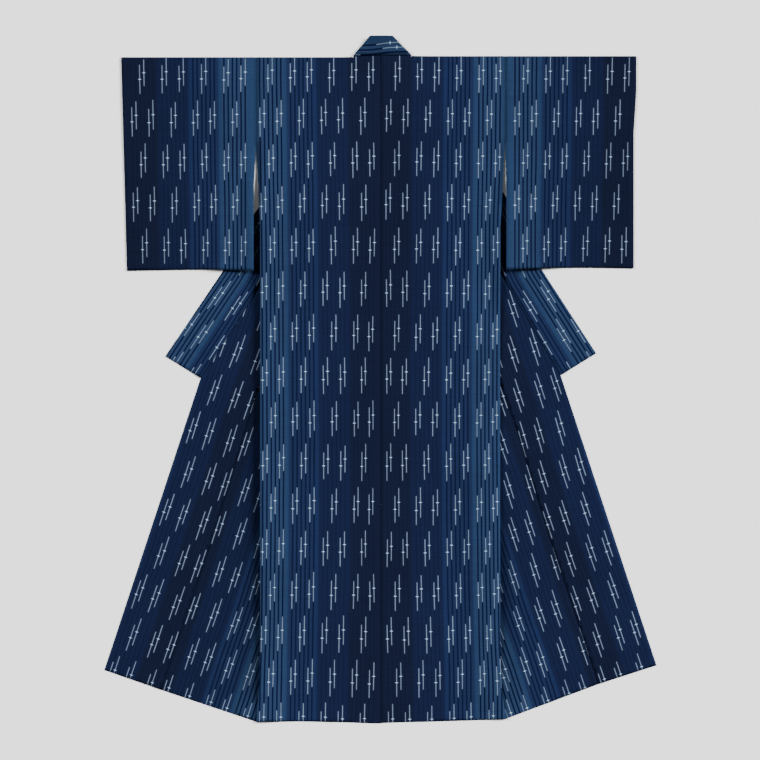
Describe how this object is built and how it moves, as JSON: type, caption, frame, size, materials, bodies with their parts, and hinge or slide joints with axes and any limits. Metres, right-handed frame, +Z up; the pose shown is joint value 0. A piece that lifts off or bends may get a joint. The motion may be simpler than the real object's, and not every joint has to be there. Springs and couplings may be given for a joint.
{
  "type": "kimono laid flat",
  "caption": "Kimono laid flat, back up: square sleeves, long body strips over the shoulders, and both fronts with the wide collar folded outward underneath.",
  "frame": {"origin": "centre of the bounding box, on the surface that the cloth rests on", "axes": "+Y from the hem toward the neck, +Z up from the surface, +X toward the sleeve on the right seen from above"},
  "size_m": [1.398, 1.7404, 0.006],
  "materials": {
    "body_left": "matte plain-woven cotton, indigo bands with pale woven dashes",
    "body_right": "matte plain-woven cotton, indigo bands with pale woven dashes",
    "sleeve_left": "matte plain-woven cotton, indigo bands with pale woven dashes",
    "sleeve_right": "matte plain-woven cotton, indigo bands with pale woven dashes",
    "okumi_left": "matte plain-woven cotton, dark indigo bands with pale woven dashes",
    "okumi_right": "matte plain-woven cotton, dark indigo bands with pale woven dashes",
    "collar": "matte plain-woven cotton, mid indigo bands with pale woven dashes"
  },
  "bodies": {
    "root": {"body_left": "body_left", "body_right": "body_right", "sleeve_left": "sleeve_left", "sleeve_right": "sleeve_right", "okumi_left": "okumi_left", "okumi_right": "okumi_right", "collar": "collar"}
  },
  "joints": []
}
